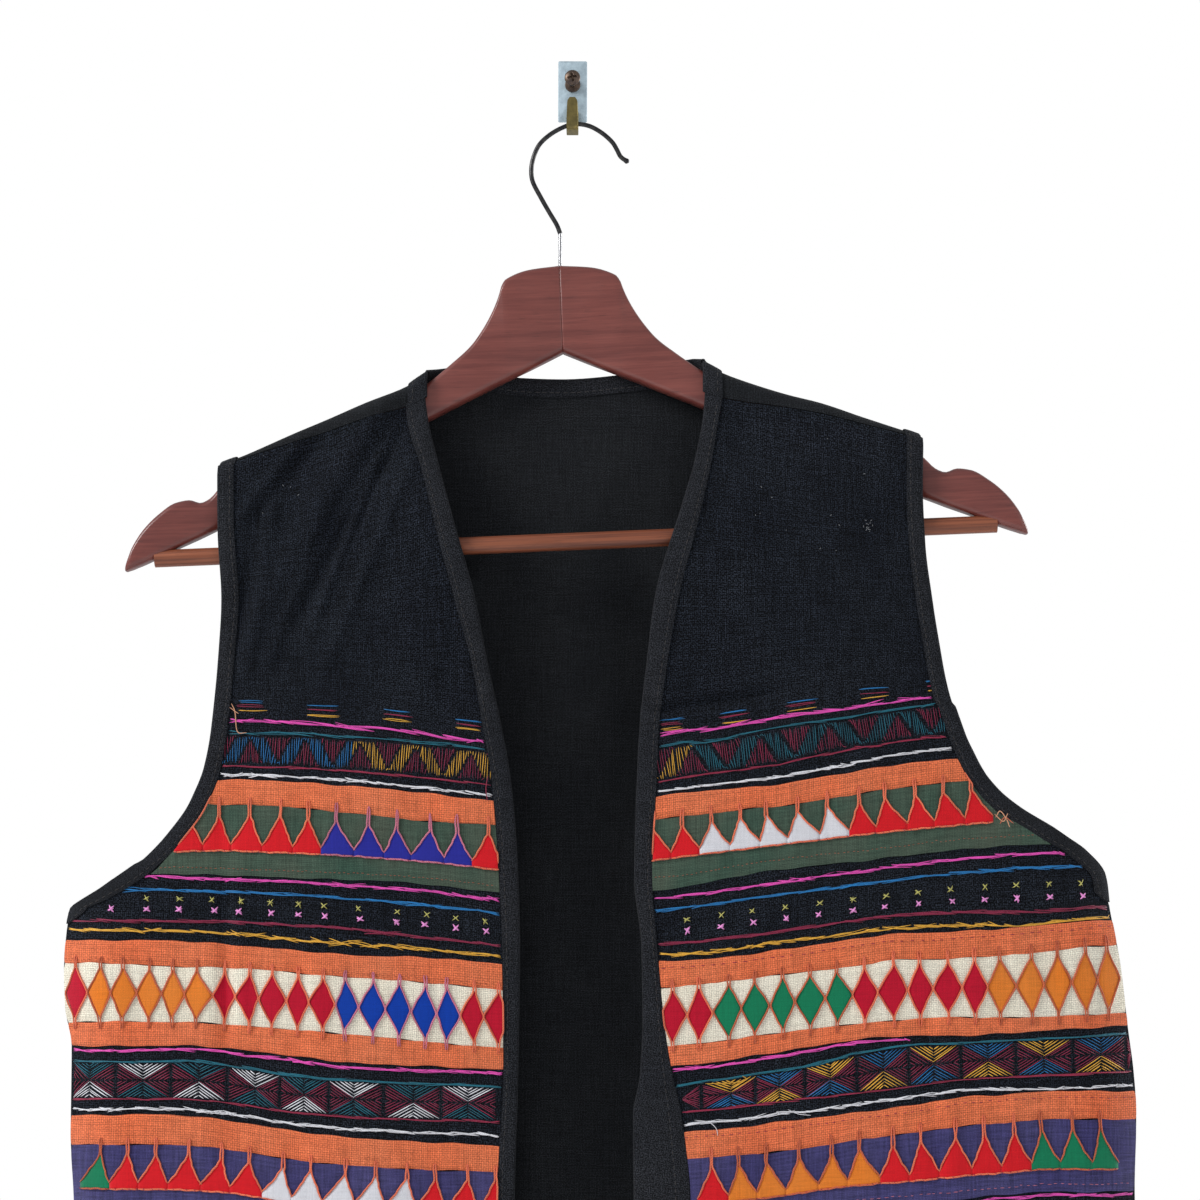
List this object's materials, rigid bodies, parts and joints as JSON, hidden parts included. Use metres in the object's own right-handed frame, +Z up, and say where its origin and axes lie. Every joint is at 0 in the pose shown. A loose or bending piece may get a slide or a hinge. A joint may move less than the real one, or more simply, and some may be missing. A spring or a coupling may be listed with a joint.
{
  "type": "vest on a wooden hanger and wall hook",
  "caption": "Sleeveless open-fronted vest with patchwork strips of triangle and diamond patches, hung on a wooden hanger from a small wall hook.",
  "frame": {"origin": "on the back of the wall plate, below its screw, where it lies on the wall", "axes": "+Z up, +Y into the wall, so the vest's front faces -Y; the wearer's right is at -X"},
  "size_m": [0.5171, 0.0427, 0.7619],
  "materials": {
    "front_cloth": "coarse slub plain weave, matt",
    "back_cloth": "fine plain weave, matt",
    "binding_cloth": "folded cotton binding, matt",
    "orange_cloth": "plain cotton, matt",
    "green_cloth": "plain cotton, matt",
    "cream_cloth": "plain cotton, matt",
    "navy_cloth": "plain cotton, matt",
    "arm_wood": "stained, satin varnish",
    "bar_wood": "stained, streaky, satin",
    "hook_wire": "dark oxidised wire",
    "plate_metal": "zinc plated",
    "tongue_metal": "dull brass",
    "screw_metal": "dark bronze"
  },
  "bodies": {
    "root": {"back_panel": "back_cloth", "right_front_panel": "front_cloth", "left_front_panel": "front_cloth", "neck_binding": "binding_cloth", "right_front_binding": "binding_cloth", "left_front_binding": "binding_cloth", "right_armhole_binding": "binding_cloth", "left_armhole_binding": "binding_cloth", "hanger_right_arm": "arm_wood", "hanger_left_arm": "arm_wood", "hanger_bar": "bar_wood", "hanger_hook": "hook_wire", "wall_plate": "plate_metal", "wall_hook_tongue": "tongue_metal", "wall_screw": "screw_metal", "right_first_orange_strip": "orange_cloth", "right_second_orange_strip": "orange_cloth", "right_third_orange_strip": "orange_cloth", "right_fourth_orange_strip": "orange_cloth", "right_green_strip": "green_cloth", "right_cream_strip": "cream_cloth", "right_navy_strip": "navy_cloth", "left_first_orange_strip": "orange_cloth", "left_second_orange_strip": "orange_cloth", "left_third_orange_strip": "orange_cloth", "left_fourth_orange_strip": "orange_cloth", "left_green_strip": "green_cloth", "left_cream_strip": "cream_cloth", "left_navy_strip": "navy_cloth"}
  },
  "joints": []
}
